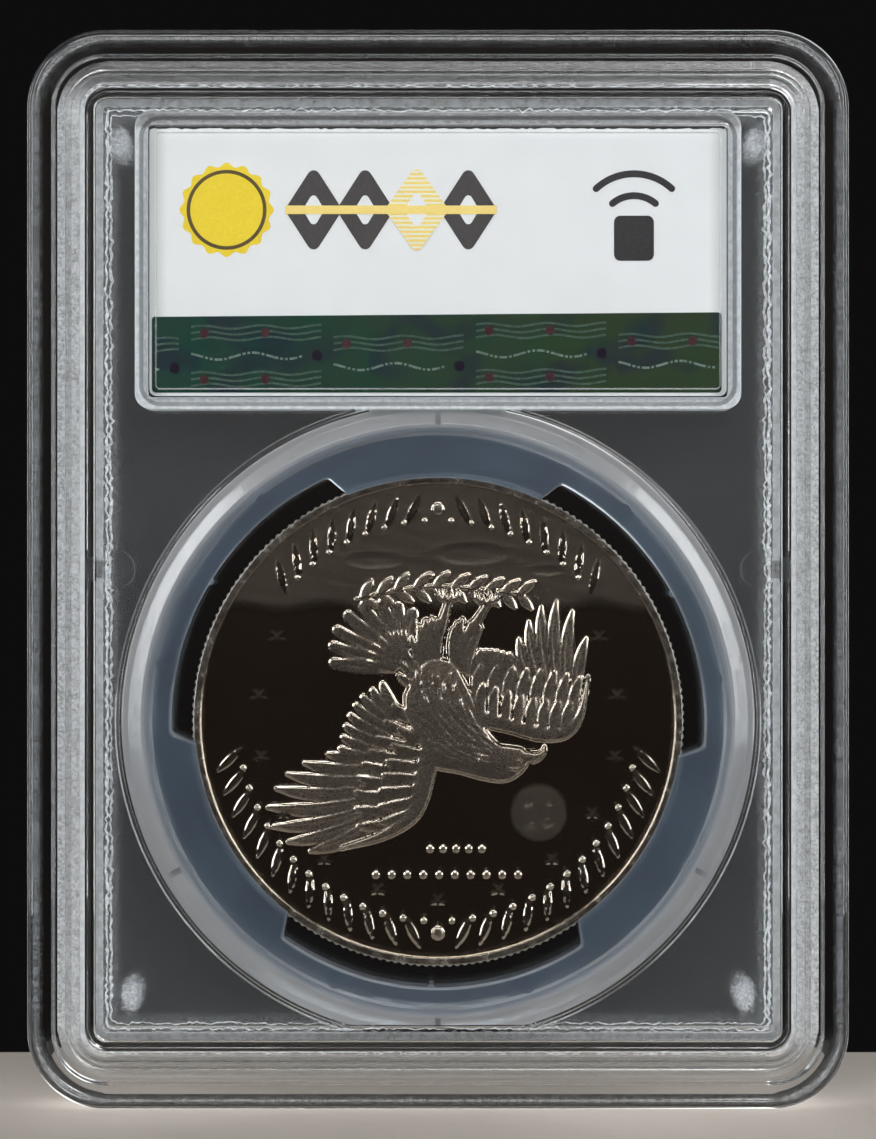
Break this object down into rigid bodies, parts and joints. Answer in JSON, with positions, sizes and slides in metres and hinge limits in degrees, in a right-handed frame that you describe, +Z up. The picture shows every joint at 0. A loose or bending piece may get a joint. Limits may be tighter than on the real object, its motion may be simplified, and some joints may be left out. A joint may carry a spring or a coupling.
{
  "type": "graded coin slab",
  "caption": "Sealed flat holder of clear plastic with a framed paper label above a round coin, which a pronged translucent ring holds so that both faces and the edge show.",
  "frame": {"origin": "centre of the bottom edge that the slab stands on, midway between its faces", "axes": "+Z up the slab towards its label, +X to the right seen from the rear face, +Y from the rear face to the front face"},
  "size_m": [0.0632, 0.008, 0.083],
  "materials": {
    "clear_shell": "glossy clear moulded polystyrene",
    "gasket": "milky translucent",
    "coin_core": "bare copper, seen only at the reeded edge",
    "coin_face": "proof, mirror field and frosted relief",
    "label_paper": "smooth printed",
    "hologram": "embossed diffraction foil",
    "tag_film": "clear film",
    "tag_antenna": "etched foil",
    "tag_chip": "bare"
  },
  "bodies": {
    "holder": {"rear_shell": "clear_shell", "front_shell": "clear_shell", "coin_gasket": "gasket", "rear_label": "label_paper", "front_label": "label_paper", "hologram_strip": "hologram", "tag_film": "tag_film", "tag_antenna": "tag_antenna", "tag_chip": "tag_chip"},
    "coin": {"coin_core": "coin_core", "coin_reverse_clad": "coin_face", "coin_obverse_clad": "coin_face"}
  },
  "joints": [
    {"name": "coin_turn", "type": "hinge", "parent": "holder", "child": "coin", "pos_m": [0, 0, 0.0298], "axis": [0, 1, 0], "continuous": true}
  ]
}
